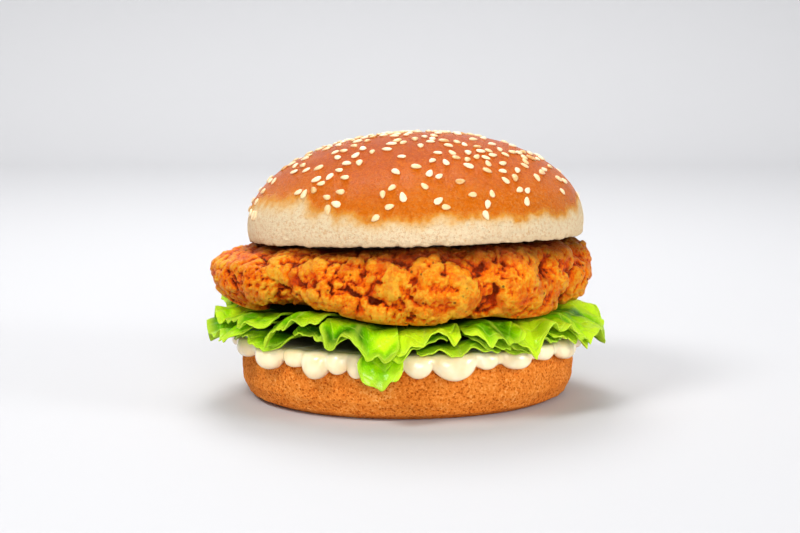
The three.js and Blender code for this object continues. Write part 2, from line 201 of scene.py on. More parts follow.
def sheetPiece(name, upper, lower, attributes):
    # a thin closed body between two faces with the same grid
    rows, columns = upper.shape[:2]
    points = np.concatenate([upper.reshape(-1, 3), lower.reshape(-1, 3)])
    index = np.arange(rows * columns).reshape(rows, columns)
    below = rows * columns
    quads = np.stack([index[:-1, :-1], index[1:, :-1], index[1:, 1:], index[:-1, 1:]], axis=-1)
    quads = quads.reshape(-1, 4)
    edge = np.concatenate([index[0, :-1], index[:-1, -1], index[-1, :0:-1], index[:0:-1, 0]])
    onward = np.roll(edge, -1)
    rim = np.stack([edge, onward, onward + below, edge + below], axis=-1)
    faces = np.concatenate([quads, quads[:, ::-1] + below, rim])
    both = {key: np.concatenate([values.ravel(), values.ravel()]) for key, values in attributes.items()}
    return pieceFrom(name, points, faces, np.zeros((0, 3), int), both)


# Materials

class Wire:
    # a socket's value: an expression on wires adds its Math nodes
    def __init__(self, finish, socket):
        self.finish, self.socket = finish, socket

    def __add__(self, other):
        return self.finish.maths("ADD", self, other)

    def __sub__(self, other):
        return self.finish.maths("SUBTRACT", self, other)

    def __rsub__(self, other):
        return self.finish.maths("SUBTRACT", other, self)

    def __mul__(self, other):
        return self.finish.maths("MULTIPLY", self, other)


class Finish:
    # one material, and the nodes that are added to it
    def __init__(self, name):
        self.material = bpy.data.materials.new(name)
        self.material.use_nodes = True
        self.tree = self.material.node_tree
        self.tree.nodes.clear()
        self.place = self.add("ShaderNodeTexCoord", out="Object")

    def add(self, kind, settings=None, inputs=None, out=0):
        node = self.tree.nodes.new(kind)
        for key, value in (settings or {}).items():
            if key == "stops":
                ramp = node.color_ramp.elements
                ramp[1].position, ramp[0].position = value[-1][0], value[0][0]
                for at, _ in value[1:-1]:
                    ramp.new(at)
                for stop, (_, colour) in zip(ramp, value):
                    stop.color = (*colour, 1)
            else:
                setattr(node, key, value)
        for key, value in (inputs or {}).items():
            if isinstance(value, Wire):
                self.tree.links.new(value.socket, node.inputs[key])
            else:
                node.inputs[key].default_value = value
        return None if out is None else Wire(self, node.outputs[out])

    def maths(self, operation, first, second):
        return self.add("ShaderNodeMath", {"operation": operation}, {0: first, 1: second})

    def between(self, low, high, value):
        # an S-curve from 0 at low to 1 at high
        inputs = {"Value": value, "From Min": low, "From Max": high}
        return self.add("ShaderNodeMapRange", {"interpolation_type": "SMOOTHSTEP"}, inputs)

    def attribute(self, name):
        return self.add("ShaderNodeAttribute", {"attribute_name": name}, out="Fac")

    def noise(self, size, detail=3, rough=0.55):
        # size in millimetres
        inputs = {"Vector": self.place, "Scale": 1 / (size * mm), "Detail": detail, "Roughness": rough}
        return self.add("ShaderNodeTexNoise", {}, inputs)

    def cells(self, size):
        # the distance to the nearest of scattered points, size in millimetres
        inputs = {"Vector": self.place, "Scale": 1 / (size * mm)}
        return self.add("ShaderNodeTexVoronoi", {}, inputs, out="Distance")

    def ramp(self, value, stops):
        return self.add("ShaderNodeValToRGB", {"stops": stops}, {"Fac": value})

    def blend(self, factor, first, second):
        # from the first colour to the second; the Mix node's colours are sockets 6 and 7, its result is 2
        settings = {"data_type": "RGBA", "clamp_factor": True}
        first, second = [colour if isinstance(colour, Wire) else (*colour, 1) for colour in (first, second)]
        return self.add("ShaderNodeMix", settings, {0: factor, 6: first, 7: second}, out=2)

    def bump(self, height, depth, strength):
        # depth in millimetres
        inputs = {"Height": height, "Distance": depth * mm, "Strength": strength}
        return self.add("ShaderNodeBump", {}, inputs)

    def surface(self, **inputs):
        # the shader's sockets by name, with _ for a space
        sockets = {key.replace("_", " "): value for key, value in inputs.items()}
        shader = self.add("ShaderNodeBsdfPrincipled", {}, sockets)
        self.add("ShaderNodeOutputMaterial", {}, {"Surface": shader}, out=None)
        return self.material


def tint(red, green, blue):
    # a colour on the 0 to 255 scale of a picture, as linear light by the sRGB curve
    shares = [part / 255 for part in (red, green, blue)]
    return tuple(part / 12.92 if part < 0.0404 else ((part + 0.055) / 1.055) ** 2.4 for part in shares)


def dress(piece, material, slot, *nodes):
    # the piece's material, its body, the node that it stands for, and its slot, which is not used
    piece.data.materials.append(material)
    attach(piece, "root")
    if nodes:
        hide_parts(*nodes)


# The bun heel

heel = {
    "radius": 52,
    "height": 17,
    "waves": [(0.01, 2, 0.9), (0.006, 3, 2.2)],
    "outline": [(0, 0.88), (0.1, 0.955), (0.34, 0.992), (0.66, 1), (0.94, 0.985), (1, 0.968)],
    "columns": 560,
    "sideRows": 90,
    "underPath": (0.25, 0.99, 8),  # from, to, rows
    "cutPath": (2.02, 2.7, 14),
    "smoothings": 3,
    "crumb": 0.22,  # depth of the crumb
    "crumbFrom": (1.0, 1.12),
    "grain": [(0.5, 1.6, 11), (0.35, 0.8, 12), (0.3, 3.4, 13)],
    "ridge": 0.55,  # height of the torn ridge along the cut
    "ridgeAt": 1.985,
    "ridgeWidth": 0.05,
    "ridgeSunk": 0.2,
    "torn": [(1, 2.2, 14), (0.5, 0.9, 15)],
    "overCut": 0.25,  # the most that anything stands over the cut
    "cutFrom": (1.93, 2.0),
    "cutRagged": 0.35,
}


def heelRadius(angle):
    # a circle with slow waves round it
    return heel["radius"] * uneven(angle, heel["waves"])


def makeHeel():
    # radius and height follow the outline from the underside to the cut, with crumb along the normal
    angle = roundAbout(heel["columns"])
    ups, outs = np.array(heel["outline"]).T
    side = np.linspace(1, 2, heel["sideRows"])
    # the path runs from the underside's middle at 0 to the side at 1, up it to 2, and back in over the cut
    path = np.concatenate([np.linspace(*heel["underPath"]), side, np.linspace(*heel["cutPath"])])
    rise = np.clip(path - 1, 0, 1)
    rounded = np.interp(rise, ups, outs)
    first, last = heel["underPath"][2], -heel["cutPath"][2] - 1
    for _ in range(heel["smoothings"]):
        inner = rounded[first + 1:last]
        rounded[first + 1:last] = (rounded[first:last - 1] + inner + rounded[first + 2:last + 1]) / 3
    out = np.where(path < 1, rounded[first] * path, rounded)
    out = np.where(path > 2, rounded[last] * (3 - path), out)
    flat = polar(angle, heelRadius(angle) * out[:, None], heel["height"] * rise[:, None])
    facing = gridNormals(flat)
    onSide = smooth(*heel["crumbFrom"], path)[:, None]
    rim = np.exp(-(((path - heel["ridgeAt"]) / heel["ridgeWidth"]) ** 2))[:, None]
    torn = np.maximum(0, layered(flat, heel["torn"]))
    crumb = onSide * heel["crumb"] * layered(flat, heel["grain"])
    depth = crumb + rim * heel["ridge"] * (torn - heel["ridgeSunk"])
    rings = flat + facing * depth[..., None]
    rings[..., 2] = np.clip(rings[..., 2], 0, heel["height"] + heel["overCut"])
    ragged = heel["cutRagged"] * rim * torn
    cut = np.clip(smooth(*heel["cutFrom"], path)[:, None] + ragged, 0, 1) + 0 * angle
    return ringPiece("bunHeel", rings, {"cut": cut})


def heelFinish():
    # a dry toasted side: tone from mottle, grain and pores, and pale crumb where it was cut
    finish = Finish("toastedHeel")
    cut = finish.attribute("cut")
    mottle = finish.noise(6, 3)
    grain = finish.noise(0.9, 5, 0.8)
    pores = finish.between(0.1, 0.45, finish.cells(1.0))
    shade = mottle * 0.25 + grain * 0.9 + pores * 0.22 - 0.28
    crust = finish.ramp(shade, [
        (0.3, tint(190, 86, 14)), (0.45, tint(226, 120, 34)),
        (0.57, tint(244, 146, 56)), (0.72, tint(255, 190, 112)),
    ])
    colour = finish.blend(cut, crust, tint(250, 214, 150))
    normal = finish.bump(pores * 0.5 + grain, 0.7, 0.8)
    return finish.surface(Base_Color=colour, Roughness=0.9, Normal=normal, Specular_IOR_Level=0.12)


# Leaves and what they lie between

fillet = {
    "middle": (-2.4, -1.5),
    "halfLength": 55.5,
    "halfDepth": 51.5,
    "squareness": 2.25,
    "waves": [(0.018, 3, 0.4), (0.012, 5, 1.9)],
    "underside": 29.6,
    "liftFrom": (34, 52),
    "upcurve": 0.05,
    "shoulder": 12,  # how far in the side's curve begins
    "skin": 0.4,
    "hollow": 2.4,  # how far the slab stays inside its crust
    "crags": 150,
    "cragTilt": (-70, 145),  # least, range of the draw
    "cragRadius": (4.2, 4.6),
    "cragRise": (0.3, 0.3),
    "cragBase": 1.2,
    "cragSoftening": 4,  # in columns
    "seed": 2029,
    "columns": 880,
    "flatPath": (0.25, 0.985, 9),  # from, to, rows
    "sideRows": 92,
    "sideFrom": (0.72, 0.95),
    "setBack": 0.7,  # under the crown
    "setBackFrom": (0.6, 1.2),
    "soften": 1.2,  # how softly it bends under the crown
    "freeFrom": (49, 55),  # outside the crown it may stand higher
    "higher": 5,
    "higherFrom": (50, 53),
    "sink": 0.15,
    "sunkShare": 0.55,  # the height of the lumps that stays level
    "warp": 0.4,
}
crown = {
    "radius": 52.8,
    "height": 33,
    "rim": 4,
    "roundness": 2.08,
    "waves": [(0.008, 2, 0.6), (0.006, 3, 2), (0.004, 7, 0)],
    "topShift": 1.2,
    "middle": (2.5, 0, 49.4),
    "leanBack": 4.2,
    "leanLeft": 1.25,
    "fall": 3.5,  # how much lower the fillet's room is past the crown's edge
    "fallFrom": (-6, 9),  # from the edge
    "columns": 620,
    "cutPath": (0.3, 0.98, 14),  # from, to, rows
    "edgeRows": 24,
    "domeRows": 92,
    "domeShare": 0.985,
    "edgeInset": 0.02,
    "edgeStart": 0.06,
    "skin": [(0.12, 7, 42), (0.06, 2.4, 43), (0.04, 1.2, 49)],
    "torn": [(0.5, 2.4, 40), (0.8, 1.1, 41)],
    "tornDepth": 0.38,
    "tornFrom": (0.4, 2.6),  # height
    "tornPast": (0.95, 0.98),  # share of the radius
    "pitDepth": 1.1,
    "pitSize": 2.6,
    "pitsAbove": (1, 3),  # the pits begin over the torn edge
    "pitsBelow": (7, 14),
}
mayonnaise = {
    "height": 2.9,
    "overhang": 1.2,
    "drip": 0.5,
    "least": (1.3, 0.7),  # how far it pushes out and hangs between the drops
    "beads": (0.5, 4.5, 21),  # height, size, seed
    "blunt": 0.7,  # exponent of the nose: less is blunter
    "sag": 1.25,  # exponent of the rise where a drop hangs
    "sagFrom": 1.5,
    "soft": (0.1, 3.0, 22),
    "columns": 720,
    "noseRows": 50,
    "underPath": (0.3, 0.99, 7),  # from, to, rows
    "overPath": (0.985, 0.3, 7),
    "hidden": (44, 51),
    "slope": 0.35,  # how fast the leaves' room falls past the heel
}
lettuce = {
    "root": 12,
    "bend": 51,
    "rim": 62,
    "top": 28,
    "step": 2.75,
    "packed": 2.6,
    "shingle": 0.75,
    "thickness": 0.62,
    "thinner": 0.45,  # share that the edge is thinner
    "ribThickness": 0.175,
    "crowding": 1.7,  # rows lie closer towards the edge
    "scallop": 4.4,
    "nick": 1.4,
    "taper": 3,
    "sway": 0.8,
    "inset": 1.7,
    "fallCurve": 1.25,
    "slant": 0.07,
    "growth": (42, 18, 1.5, 1.15),  # of the ruffles: from, over, exponent, most
    "farRight": (4, 13, 2.2),  # azimuth, half-width, extra fall
    "rows": 84,
    "pitch": 0.33,  # degrees from column to column
}
clearance = 0.35

# height, number round the burger, phase, lean
ruffles = [(2.2, 9, 0.7, 1), (1.7, 17, 2.1, -1), (1.0, 29, 4, 2)]
frills = [(1.1, 41, 1.3, 2), (0.6, 71, 0.4, -3), (0.2, 131, 2.2, 4)]

# azimuth, half-width in degrees, height
lifts = [(236, 18, 3.8), (297, 9, 1.9), (8, 18, 0.8), (70, 20, 2.4), (138, 22, 2.8)]


def waves(angle, radius, rows):
    # sines round the burger, which lean as the radius grows
    slant = lettuce["slant"] * (radius - lettuce["bend"])
    return sum(height * np.sin(count * angle + phase + lean * slant) for height, count, phase, lean in rows)


def ruffle(angle, radius):
    # waves that grow towards the edge of the leaves
    start, over, curve, most = lettuce["growth"]
    growth = np.minimum(most, np.maximum(0, (radius - start) / over) ** curve)
    return growth * waves(angle, radius, ruffles)


def sideLift(angle, radius):
    # swells round some azimuths, from none inside the burger to their height at its side
    return sum(bell(angle, *lift) for lift in lifts) * smooth(*fillet["liftFrom"], radius)


def underFillet(angle, radius):
    # the height of the fillet's underside: level, lifted at some azimuths, curving up past the bend
    lift = sideLift(angle, radius)
    return fillet["underside"] + lift + fillet["upcurve"] * np.maximum(0, radius - lettuce["bend"]) ** 2


def overMayonnaise(radius):
    # the height that the leaves stay above: level over the heel, falling past its edge
    highest = heel["height"] + 3 * clearance + mayonnaise["height"]
    return highest - mayonnaise["slope"] * np.maximum(0, radius - heel["radius"] - 0.5) ** 1.5


# The mayonnaise

# azimuth, half-width in degrees, how far it pushes out, how far it hangs
drops = [
    (203, 7, 1.6, 1.8), (219, 6.5, 2.1, 3.4), (231, 4.5, 1.2, 1.4), (239.5, 4.9, 2.8, 4.2),
    (247, 3.8, 1.6, 2.4), (253.5, 3.3, 1.7, 3.2), (266, 3.2, 1.0, 2.4), (273.5, 4.8, 1.6, 3.0),
    (285.5, 7.4, 2.0, 4.0), (297, 4.2, 1.0, 1.2), (309, 6, 1.6, 2.2), (322, 4.5, 0.9, 0.9),
    (336, 7, 1.8, 2.4), (349, 4.4, 0.9, 0.9), (2, 6, 1.4, 1.8), (17, 4.5, 0.9, 0.9),
    (31, 7, 2.0, 3.2), (46, 4.6, 1.0, 1.2), (60, 6.5, 1.4, 1.8), (73, 4.4, 0.9, 0.9),
    (85, 6.5, 1.8, 2.8), (99, 4.6, 1.0, 1.2), (113, 7, 1.4, 2.0), (127, 4.4, 0.9, 0.9),
    (140, 7, 2.0, 3.2), (154, 4.6, 0.9, 1.0), (168, 6.5, 1.3, 1.8), (184, 5.4, 1.1, 1.3),
]


def makeMayonnaise():
    # a section with a round nose, pushed out and down at each drop; where drops meet, the larger counts
    angle = roundAbout(mayonnaise["columns"])
    out, down = [np.full_like(angle, least) for least in mayonnaise["least"]]
    for azimuth, half, push, hang in drops:
        swell = np.sqrt(np.clip(1 - (turnFrom(angle, azimuth) / (half * 1.05)) ** 2, 0, 1))
        out = np.maximum(out, 0.35 + (mayonnaise["overhang"] + push) * swell)
        down = np.maximum(down, 0.2 + (mayonnaise["drip"] + hang) * swell**1.5)
    bead, size, seed = mayonnaise["beads"]
    out = out + bead * lumps(polar(angle, 60, 0), size, seed) - 0.15
    base = heel["height"] + clearance
    inner = base + mayonnaise["height"] - 0.3
    side = heelRadius(angle) + clearance + 0.1
    top = base + mayonnaise["height"] + 0.12 * out + 0.3 * ruffle(angle, heel["radius"] - 2)
    low = base - down
    turn = np.linspace(-math.pi / 2, math.pi / 2, mayonnaise["noseRows"])[:, None]
    # the nose: out by the cosine and up by the sine, fuller above than below
    noseOut = np.cos(turn) ** mayonnaise["blunt"] * out
    noseUp = (0.5 + 0.5 * np.sin(turn)) ** np.where(down > mayonnaise["sagFrom"], mayonnaise["sag"], 1)
    nose = polar(angle, side + noseOut, low + (top - low) * noseUp)
    outwards = np.linspace(*mayonnaise["underPath"])[:, None]
    under = polar(angle, side * outwards, base)
    inwards = np.linspace(*mayonnaise["overPath"])[:, None]
    over = polar(angle, side * inwards, inner + (top - inner) * smooth(0.7, 0.985, inwards))
    rings = np.concatenate([under, nose, over])
    soft = layered(rings, [mayonnaise["soft"]]) * smooth(45, 51, np.hypot(rings[..., 0], rings[..., 1]))
    rings = rings + gridNormals(rings) * soft[..., None]
    # painted shade: this mask darkens the mayonnaise where it lies inside the burger
    inside = 1 - smooth(*mayonnaise["hidden"], np.hypot(rings[..., 0], rings[..., 1]))
    return ringPiece("mayonnaiseLayer", rings, {"inside": inside})


def mayonnaiseFinish():
    # cream under a wet coat; dull inside the burger, and darkened there by painted shade
    finish = Finish("wetMayonnaise")
    colour = finish.ramp(finish.noise(5, 2), [(0.3, tint(255, 222, 172)), (0.7, tint(255, 238, 204))])
    inside = finish.attribute("inside")
    # painted shade: darker olive where the mayonnaise lies inside the burger
    colour = finish.blend(inside, colour, tint(120, 110, 60))
    normal = finish.bump(finish.noise(2.2, 2), 0.25, 0.35)
    return finish.surface(
        Base_Color=colour, Roughness=inside * 0.7 + 0.22, Normal=normal, Subsurface_Weight=0.3,
        Subsurface_Scale=0.002, Subsurface_Radius=(1.0, 0.8, 0.4), Coat_Weight=0.35 - inside * 0.35,
        Coat_Roughness=0.1,
    )


# Lettuce: azimuth, half-width in degrees, reach, droop, lift of the two sides, level from the top
leaves = [
    (210, 13, 61, 3.6, (0.4, 3.0), 0), (233, 11, 61.5, 5.2, (0.6, 0.4), 0),
    (255, 11.2, 62.5, 5.2, (0.6, 1.2), 0), (276, 11, 61.5, 4.8, (1.2, 0.6), 0),
    (297.5, 10, 62, 4.2, (2.2, 2.4), 0), (317, 13, 62.5, 4.7, (1.0, 0.6), 0),
    (342, 15, 64, 4.6, (0.6, 1.2), 0), (12, 16.5, 62, 5.8, (0.8, 0.4), 0),
    (46, 16.5, 62, 5.2, (1.4, 0.6), 0), (82, 18.5, 62.5, 4.8, (0.6, 1.8), 0),
    (118, 19, 61.5, 4.6, (1.6, 1.0), 0), (154, 20, 62, 4.4, (0.8, 1.8), 0),
    (185, 13, 62.5, 4.0, (1.0, 0.4), 0), (200, 14, 64, 4.4, (0.3, 0.2), 1),
    (244, 13, 58.5, 5.4, (0.3, 0.3), 1), (270, 13, 58.5, 5.2, (0.3, 0.3), 1),
    (304, 14, 58.5, 5.0, (0.3, 0.3), 1), (333, 13, 61, 4.8, (0.3, 0.3), 1),
    (30, 17, 60, 5.6, (0.3, 0.3), 1), (100, 18, 59.5, 4.8, (0.3, 0.3), 1),
    (133, 15, 59.5, 4.6, (0.3, 0.3), 1), (166, 19, 59.5, 4.6, (0.3, 0.3), 1),
    (212, 18, 58, 4.4, (0, 0), 2), (262, 6, 62.5, 8, (0, 0), 2),
    (287, 14, 57, 4.8, (0, 0), 2), (316, 14, 57.5, 4.8, (0, 0), 2),
]


def makeLeaf(number, azimuth, half, reach, droop, curls, level):
    # polar sheet: it runs out from its root, follows the ruffles, droops past the bend, and its two
    # sides curl; it keeps under the fillet and over the mayonnaise
    root, bend, rim = lettuce["root"], lettuce["bend"], lettuce["rim"]
    side = np.linspace(-1, 1, int(2 * half / lettuce["pitch"]))[None, :]
    out = 1 - (1 - np.linspace(0, 1, lettuce["rows"])[:, None]) ** lettuce["crowding"]
    arc = np.radians(half) * side * rim
    scallops = np.abs(np.sin(arc / lettuce["scallop"] + number + 0.6 * np.sin(arc / 3))) ** 0.7
    nicks = 0.35 * np.abs(np.sin(arc / lettuce["nick"] + 2 * number))
    nicks = nicks * (0.5 + 0.5 * np.sin(arc / 5 + number))
    bow = lettuce["sway"] * np.sin(5 * side + 2.3 * number) - lettuce["taper"] * np.abs(side) ** 6
    edge = reach + bow + scallops + nicks - lettuce["inset"]
    radius = root + (edge - root) * out
    nearRim = smooth(bend - 5, rim - 2, radius)
    angle = np.radians(azimuth + half * side)
    turned = angle + 1.3 * np.sin(11 * angle + 1) * nearRim / radius
    frill = smooth(bend + 1, rim, radius)
    turned = turned + 0.8 * frill * np.sin(38 * angle + number) / radius

    fall = droop * (np.maximum(0, radius - bend) / (rim - bend)) ** lettuce["fallCurve"]
    fall = fall + bell(turned, *lettuce["farRight"]) * smooth(50, 57, radius)
    curl = np.where(side < 0, curls[0], curls[1]) * np.abs(side) ** 3 * nearRim
    nested = sideLift(turned, radius) * (1 - 0.3 * level) + ruffle(turned, radius)
    nested = nested + frill * waves(turned, radius, frills)
    height = lettuce["top"] - lettuce["step"] * level + nested - fall + curl
    room = 0.5 * lettuce["thickness"] + clearance + lettuce["shingle"] + 0.1
    highest = underFillet(turned, radius) - room - lettuce["packed"] * level
    lowest = overMayonnaise(radius) + room + lettuce["packed"] * (2 - level)
    z = np.clip(height, lowest, highest) + lettuce["shingle"] * side * smooth(40, 52, radius)

    # a rib down the middle, and veins that fork off it and wander
    flat = polar(turned, radius, 0)
    wander = clouds(flat, 6, 30 + number)
    fromRib = np.abs(side) * half * 0.9
    rib = np.exp(-((fromRib / (1.3 - 0.9 * out)) ** 2)) * (1 - smooth(56, 61, radius))
    fork = np.abs(np.sin(0.62 * (radius + 0.9 * fromRib) + 1.5 * wander + number))
    twig = np.abs(np.sin(1.9 * fromRib - 0.8 * radius + 2.2 * wander))
    veins = np.maximum(smooth(0.8, 1, 1 - fork) * 0.9, smooth(0.86, 1, 1 - twig) * 0.6)
    blister = clouds(flat, 1.8, 60 + number)
    middle = polar(turned, radius, z)
    facing = -gridNormals(middle, closed=False)
    puff = (0.16 * blister - 0.14 * veins - 0.12 * rib) * smooth(44, 52, radius)
    middle = middle + facing * puff[..., None]
    thin = 0.5 * lettuce["thickness"] * (1 - lettuce["thinner"] * smooth(bend, rim, radius))
    offset = facing * (thin + lettuce["ribThickness"] * rib)[..., None]
    rimness = smooth(0.93, 1, out) + 0 * side
    patches = 0.75 * clouds(flat, 7, 90 + number) + 0.15 * blister
    attributes = {
        "vein": np.maximum(veins, rib),
        "edge": np.clip(rimness + 0.6 * smooth(0.86, 1, np.abs(side)), 0, 1),
        "tone": 0.6 + patches + 0.1 * math.sin(2.7 * number),
        # where the leaf lies inside the burger, for painted shade
        "inside": 1 - smooth(43, 53, radius) + 0 * side,
    }
    return sheetPiece(f"lettuceLeaf{number + 1}", middle + offset, middle - offset, attributes)


def leafFinish():
    # green patches, yellower towards the veins and the edge, and painted shade that turns it dark green
    # inside the burger
    finish = Finish("freshLettuce")
    vein, edge, tone = finish.attribute("vein"), finish.attribute("edge"), finish.attribute("tone")
    inside = finish.attribute("inside")
    body = finish.ramp(tone * 0.75 + finish.noise(1.4, 3) * 0.25, [
        (0.14, tint(40, 108, 0)), (0.4, tint(96, 172, 0)),
        (0.62, tint(146, 208, 0)), (0.88, tint(192, 234, 24)),
    ])
    pale = finish.between(0.52, 0.72, finish.noise(10, 3))
    body = finish.blend(pale * 0.6, body, tint(192, 230, 30))
    colour = finish.blend(edge * 0.6, body, tint(208, 238, 56))
    colour = finish.blend(vein * 0.45, colour, tint(206, 234, 84))
    # painted shade: nearly black green where the leaf lies inside the burger
    colour = finish.blend(inside, colour, tint(18, 60, 0))
    normal = finish.bump(finish.noise(0.8, 4, 0.7) * 0.9 - vein * 0.6, 0.45, 0.75)
    return finish.surface(
        Base_Color=colour, Roughness=inside * 0.58 + 0.4, Normal=normal, Subsurface_Weight=0.15,
        Subsurface_Scale=0.001, Subsurface_Radius=(0.5, 1.0, 0.1), Coat_Weight=0.16 - inside * 0.16,
        Coat_Roughness=0.15, Specular_IOR_Level=0.2, Specular_Tint=(0.8, 1.0, 0.1, 1),
    )


# The crown's frame

def crownMatrix():
    # turned about X by the lean back, and before that about Y by the lean to the left
    back, left = -math.radians(crown["leanBack"]), -math.radians(crown["leanLeft"])
    c, s = math.cos(back), math.sin(back)
    aboutX = np.array([[1, 0, 0], [0, c, -s], [0, s, c]])
    c, s = math.cos(left), math.sin(left)
    aboutY = np.array([[c, 0, s], [0, 1, 0], [-s, 0, c]])
    return aboutX @ aboutY


crownTurn = crownMatrix()
crownUp = crownTurn[:, 2]


def onBurger(points):
    # from the crown's own frame to the burger's: turned, then moved to its place
    return points @ crownTurn.T + np.array(crown["middle"])


def cutFaceHeight(x, y):
    # the height of the crown's tilted cut at a place
    middleX, middleY, middleZ = crown["middle"]
    return middleZ - (crownUp[0] * (x - middleX) + crownUp[1] * (y - middleY)) / crownUp[2]


def overFillet(x, y):
    # the height that the fillet's slab stays below: under the cut, falling past the crown's edge
    out = np.hypot(x - crown["middle"][0], y - crown["middle"][1])
    near, far = crown["fallFrom"]
    fall = crown["fall"] * smooth(crown["radius"] + near, crown["radius"] + far, out)
    return cutFaceHeight(x, y) - 2 * clearance - fall


# The fillet: azimuth, tilt of the side in degrees from level, radius, swell
lobes = [
    (189, -5, 12, 2.4), (201, 30, 7, 2.2), (176, 20, 7, 2.0), (243, -24, 10, 1.6), (262, -20, 13, 2.4),
    (281, 26, 8, 3.2), (290, 5, 7, 2.6), (286, -40, 9, 2.4), (301, -32, 10, 2.6), (309, 10, 11, 2.0),
    (335, 14, 12, 2.2), (328, -45, 7, 2.4), (2, 0, 12, 1.2), (35, -14, 13, 2.8), (66, 10, 12, 2.0),
    (93, -10, 14, 3.0), (122, 14, 11, 2.0), (150, -14, 13, 2.6),
]

# the crust over the crags: size and height of its lumps, from the largest to the grain
crust = [(10.5, 2.5), (5.2, 1.9), (2.8, 1.5), (1.5, 0.6), (0.9, 0.5)]


def filletRadius(angle):
    # a superellipse with slow waves round it
    across = np.abs(np.cos(angle) / fillet["halfLength"]) ** fillet["squareness"]
    deep = np.abs(np.sin(angle) / fillet["halfDepth"]) ** fillet["squareness"]
    return uneven(angle, fillet["waves"]) / (across + deep) ** (1 / fillet["squareness"])


def filletBase(angle, tilt, inward):
    # a slab with a rounded side between the space over the leaves and the space under the crown
    edge = filletRadius(angle) - fillet["shoulder"]
    at = polar(angle, (edge + fillet["shoulder"] * np.cos(tilt)) * inward, 0)
    at = at + np.array([*fillet["middle"], 0])
    x, y = at[..., 0], at[..., 1]
    low = underFillet(np.arctan2(y, x), np.hypot(x, y)) + fillet["skin"]
    high = overFillet(x, y) - fillet["skin"]
    at[..., 2] = (low + high) / 2 + (high - low) / 2 * np.sin(tilt)
    return at, polar(angle, np.cos(tilt), np.sin(tilt))


def cragSites():
    # crags round the side by the golden angle, each with a drawn tilt, radius and rise
    draw = drawsFrom(fillet["seed"])
    goldenAngle = math.pi * (3 - math.sqrt(5))
    leastTilt, moreTilt = fillet["cragTilt"]
    leastRadius, moreRadius = fillet["cragRadius"]
    leastRise, moreRise = fillet["cragRise"]
    sites = []
    for i in range(fillet["crags"]):
        angle = i * goldenAngle + 0.5 * next(draw)
        tilt = math.radians(leastTilt + moreTilt * next(draw))
        radius = leastRadius + moreRadius * next(draw) ** 1.5
        rise = fillet["cragBase"] + radius * (leastRise + moreRise * next(draw))
        sites.append((filletBase(np.array(angle), np.array(tilt), 1)[0], radius, rise))
    return sites


def makeFillet():
    # lobes and crags on the slab, then each size of lumps along the surface's own normal
    angle = roundAbout(fillet["columns"])
    flats = np.linspace(*fillet["flatPath"])
    sides = np.linspace(-math.pi / 2, math.pi / 2, fillet["sideRows"])
    tilt = np.concatenate([0 * flats - math.pi / 2, sides, 0 * flats + math.pi / 2])[:, None]
    inward = np.concatenate([flats, 0 * sides + 1, flats[::-1]])[:, None]
    at, facing = filletBase(angle, tilt, inward)
    swell = np.zeros(at.shape[:2])
    for azimuth, lift, radius, height in lobes:
        middle = filletBase(np.radians(azimuth), np.radians(lift), 1)[0]
        swell += height * np.exp(-np.sum((at - middle) ** 2, axis=-1) / radius**2)
    crag = np.zeros(at.shape[:2])
    for middle, radius, rise in cragSites():
        share = np.sum((at - middle) ** 2, axis=-1) / radius**2
        crag = np.maximum(crag, rise * np.sqrt(np.clip(1 - share, 0, 1)))
    crag = softened(crag, fillet["cragSoftening"])
    onSide = smooth(*fillet["sideFrom"], inward)
    setBack = 1 - fillet["setBack"] * smooth(*fillet["setBackFrom"], tilt)
    rings = at + facing * (onSide * setBack * (swell + crag - fillet["hollow"]))[..., None]

    # the small lumps are rougher in some patches, and smoother at the front right
    knobbly = 1 - 0.3 * smooth(-12, 18, rings[..., 0]) * smooth(0, -20, rings[..., 1])
    knobbly = knobbly * (1 + 0.55 * clouds(rings, 12, 280))
    for i, (size, height) in enumerate(crust):
        seed = 10 * i
        wide = [clouds(rings, 0.9 * size, 200 + seed + axis) for axis in range(3)]
        close = [clouds(rings, 0.4 * size, 230 + seed + axis) for axis in range(3)]
        warp = np.stack(wide, axis=-1) + 0.6 * np.stack(close, axis=-1)
        lump = lumps(rings + fillet["warp"] * size * warp, size, 300 + seed) - fillet["sunkShare"]
        reach = onSide * height * (knobbly if i > 1 else 1)
        rings = rings + gridNormals(softened(rings, 1)) * (reach * lump)[..., None]
        if i == 0:
            # a soft ceiling under the crown, before the smaller lumps
            x, y = rings[..., 0], rings[..., 1]
            soft = fillet["soften"]
            free = smooth(*fillet["freeFrom"], np.hypot(x - crown["middle"][0], y))
            ceiling = overFillet(x, y) + soft * free * (1 + clouds(rings, 5, 290))
            rings[..., 2] = ceiling - soft * np.logaddexp(0, (ceiling - rings[..., 2]) / soft)
    x, y = rings[..., 0], rings[..., 1]
    low = underFillet(np.arctan2(y, x), np.hypot(x, y)) - fillet["sink"]
    outside = smooth(*fillet["higherFrom"], np.hypot(x - crown["middle"][0], y))
    rings[..., 2] = np.clip(rings[..., 2], low, overFillet(x, y) + fillet["higher"] * outside)

    # how far a point stands out of its surroundings, near and wide: it sets painted shade in the gaps and
    # lighter tops
    # how close it is to the crown above it: it sets painted shade under the crown's edge
    normal = gridNormals(softened(rings, 3))
    near = np.sum((rings - softened(rings, 4)) * normal, axis=-1)
    wide = np.sum((rings - softened(rings, 14)) * normal, axis=-1)
    relief = np.clip(0.52 + 0.8 * near + 0.28 * wide, 0, 1)
    under = 1 - smooth(51, 57, np.hypot(x - crown["middle"][0], y))
    recess = smooth(-6.5, -1.5, rings[..., 2] - overFillet(x, y)) * under
    return ringPiece("friedFillet", rings, {"relief": relief, "recess": recess})


